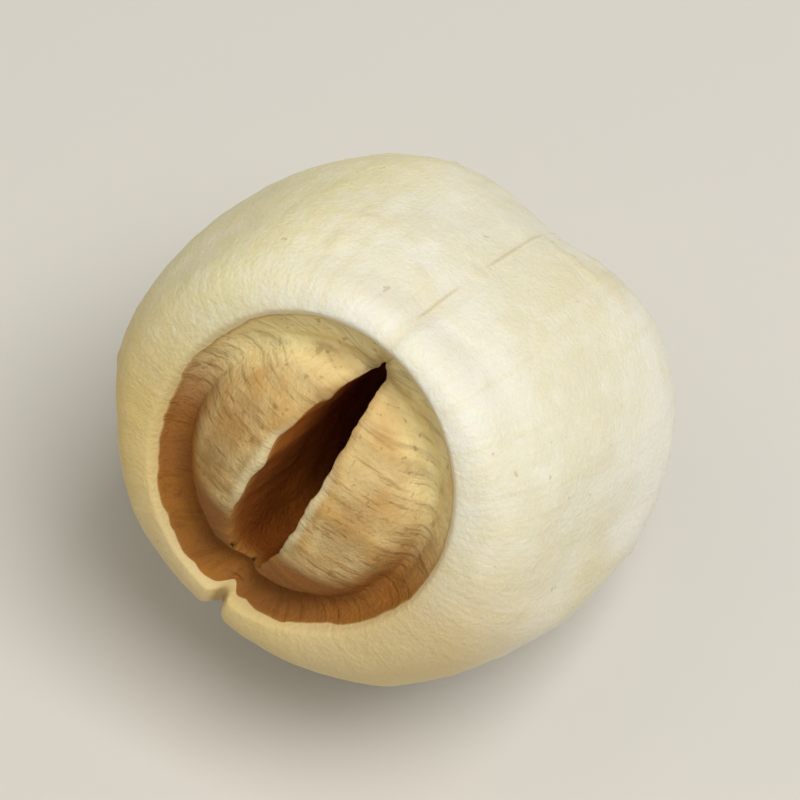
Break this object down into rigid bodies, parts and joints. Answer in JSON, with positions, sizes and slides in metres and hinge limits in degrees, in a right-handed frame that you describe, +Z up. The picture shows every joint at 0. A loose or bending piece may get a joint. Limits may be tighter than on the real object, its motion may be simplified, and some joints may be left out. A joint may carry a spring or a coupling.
{
  "type": "lotus seed",
  "caption": "Dried, peeled and cored lotus seed: a cream barrel-shaped kernel with a tan slit eye and a small pith hole, resting on a small flat.",
  "frame": {"origin": "centre of the underside of the seed's bounding box, on the plane that it rests on", "axes": "+Z up; the seed's long axis lies in the Y-Z plane, with its slit eye facing -Y and raised 32 degrees, and its pith hole facing +Y and down; +X is to the right as seen from -Y"},
  "size_m": [0.0118, 0.013, 0.0116],
  "materials": {
    "seed_flesh": "dry, matt, faintly waxy ground flesh, with tan papery seed coat left at the eye"
  },
  "bodies": {
    "root": {"kernel": "seed_flesh"}
  },
  "joints": []
}
